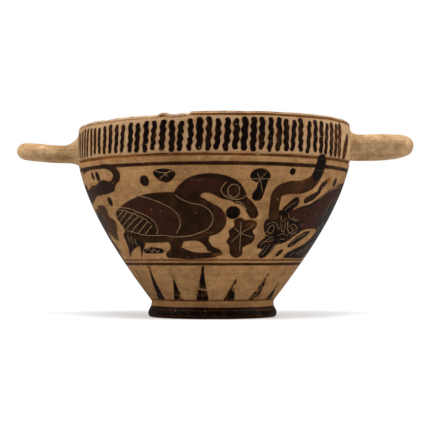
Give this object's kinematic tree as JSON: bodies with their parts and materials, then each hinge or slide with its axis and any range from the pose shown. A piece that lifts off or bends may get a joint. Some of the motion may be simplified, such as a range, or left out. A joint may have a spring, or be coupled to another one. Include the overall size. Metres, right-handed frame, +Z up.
{
  "type": "kotyle",
  "caption": "Wheel-thrown clay drinking cup with a deep flaring bowl, upright lip, low ring foot and two horizontal loop handles, painted with animals.",
  "frame": {"origin": "on the surface that the cup stands on, under the middle of its overall box, within a millimetre of the foot's centre", "axes": "+Z up, handles along -X and +X, painted front towards -Y"},
  "size_m": [0.1859, 0.1264, 0.0894],
  "materials": {
    "painted_clay": "matt orange-brown fired clay with worn black-brown slip painting"
  },
  "bodies": {
    "root": {"kotyle": "painted_clay"}
  },
  "joints": []
}
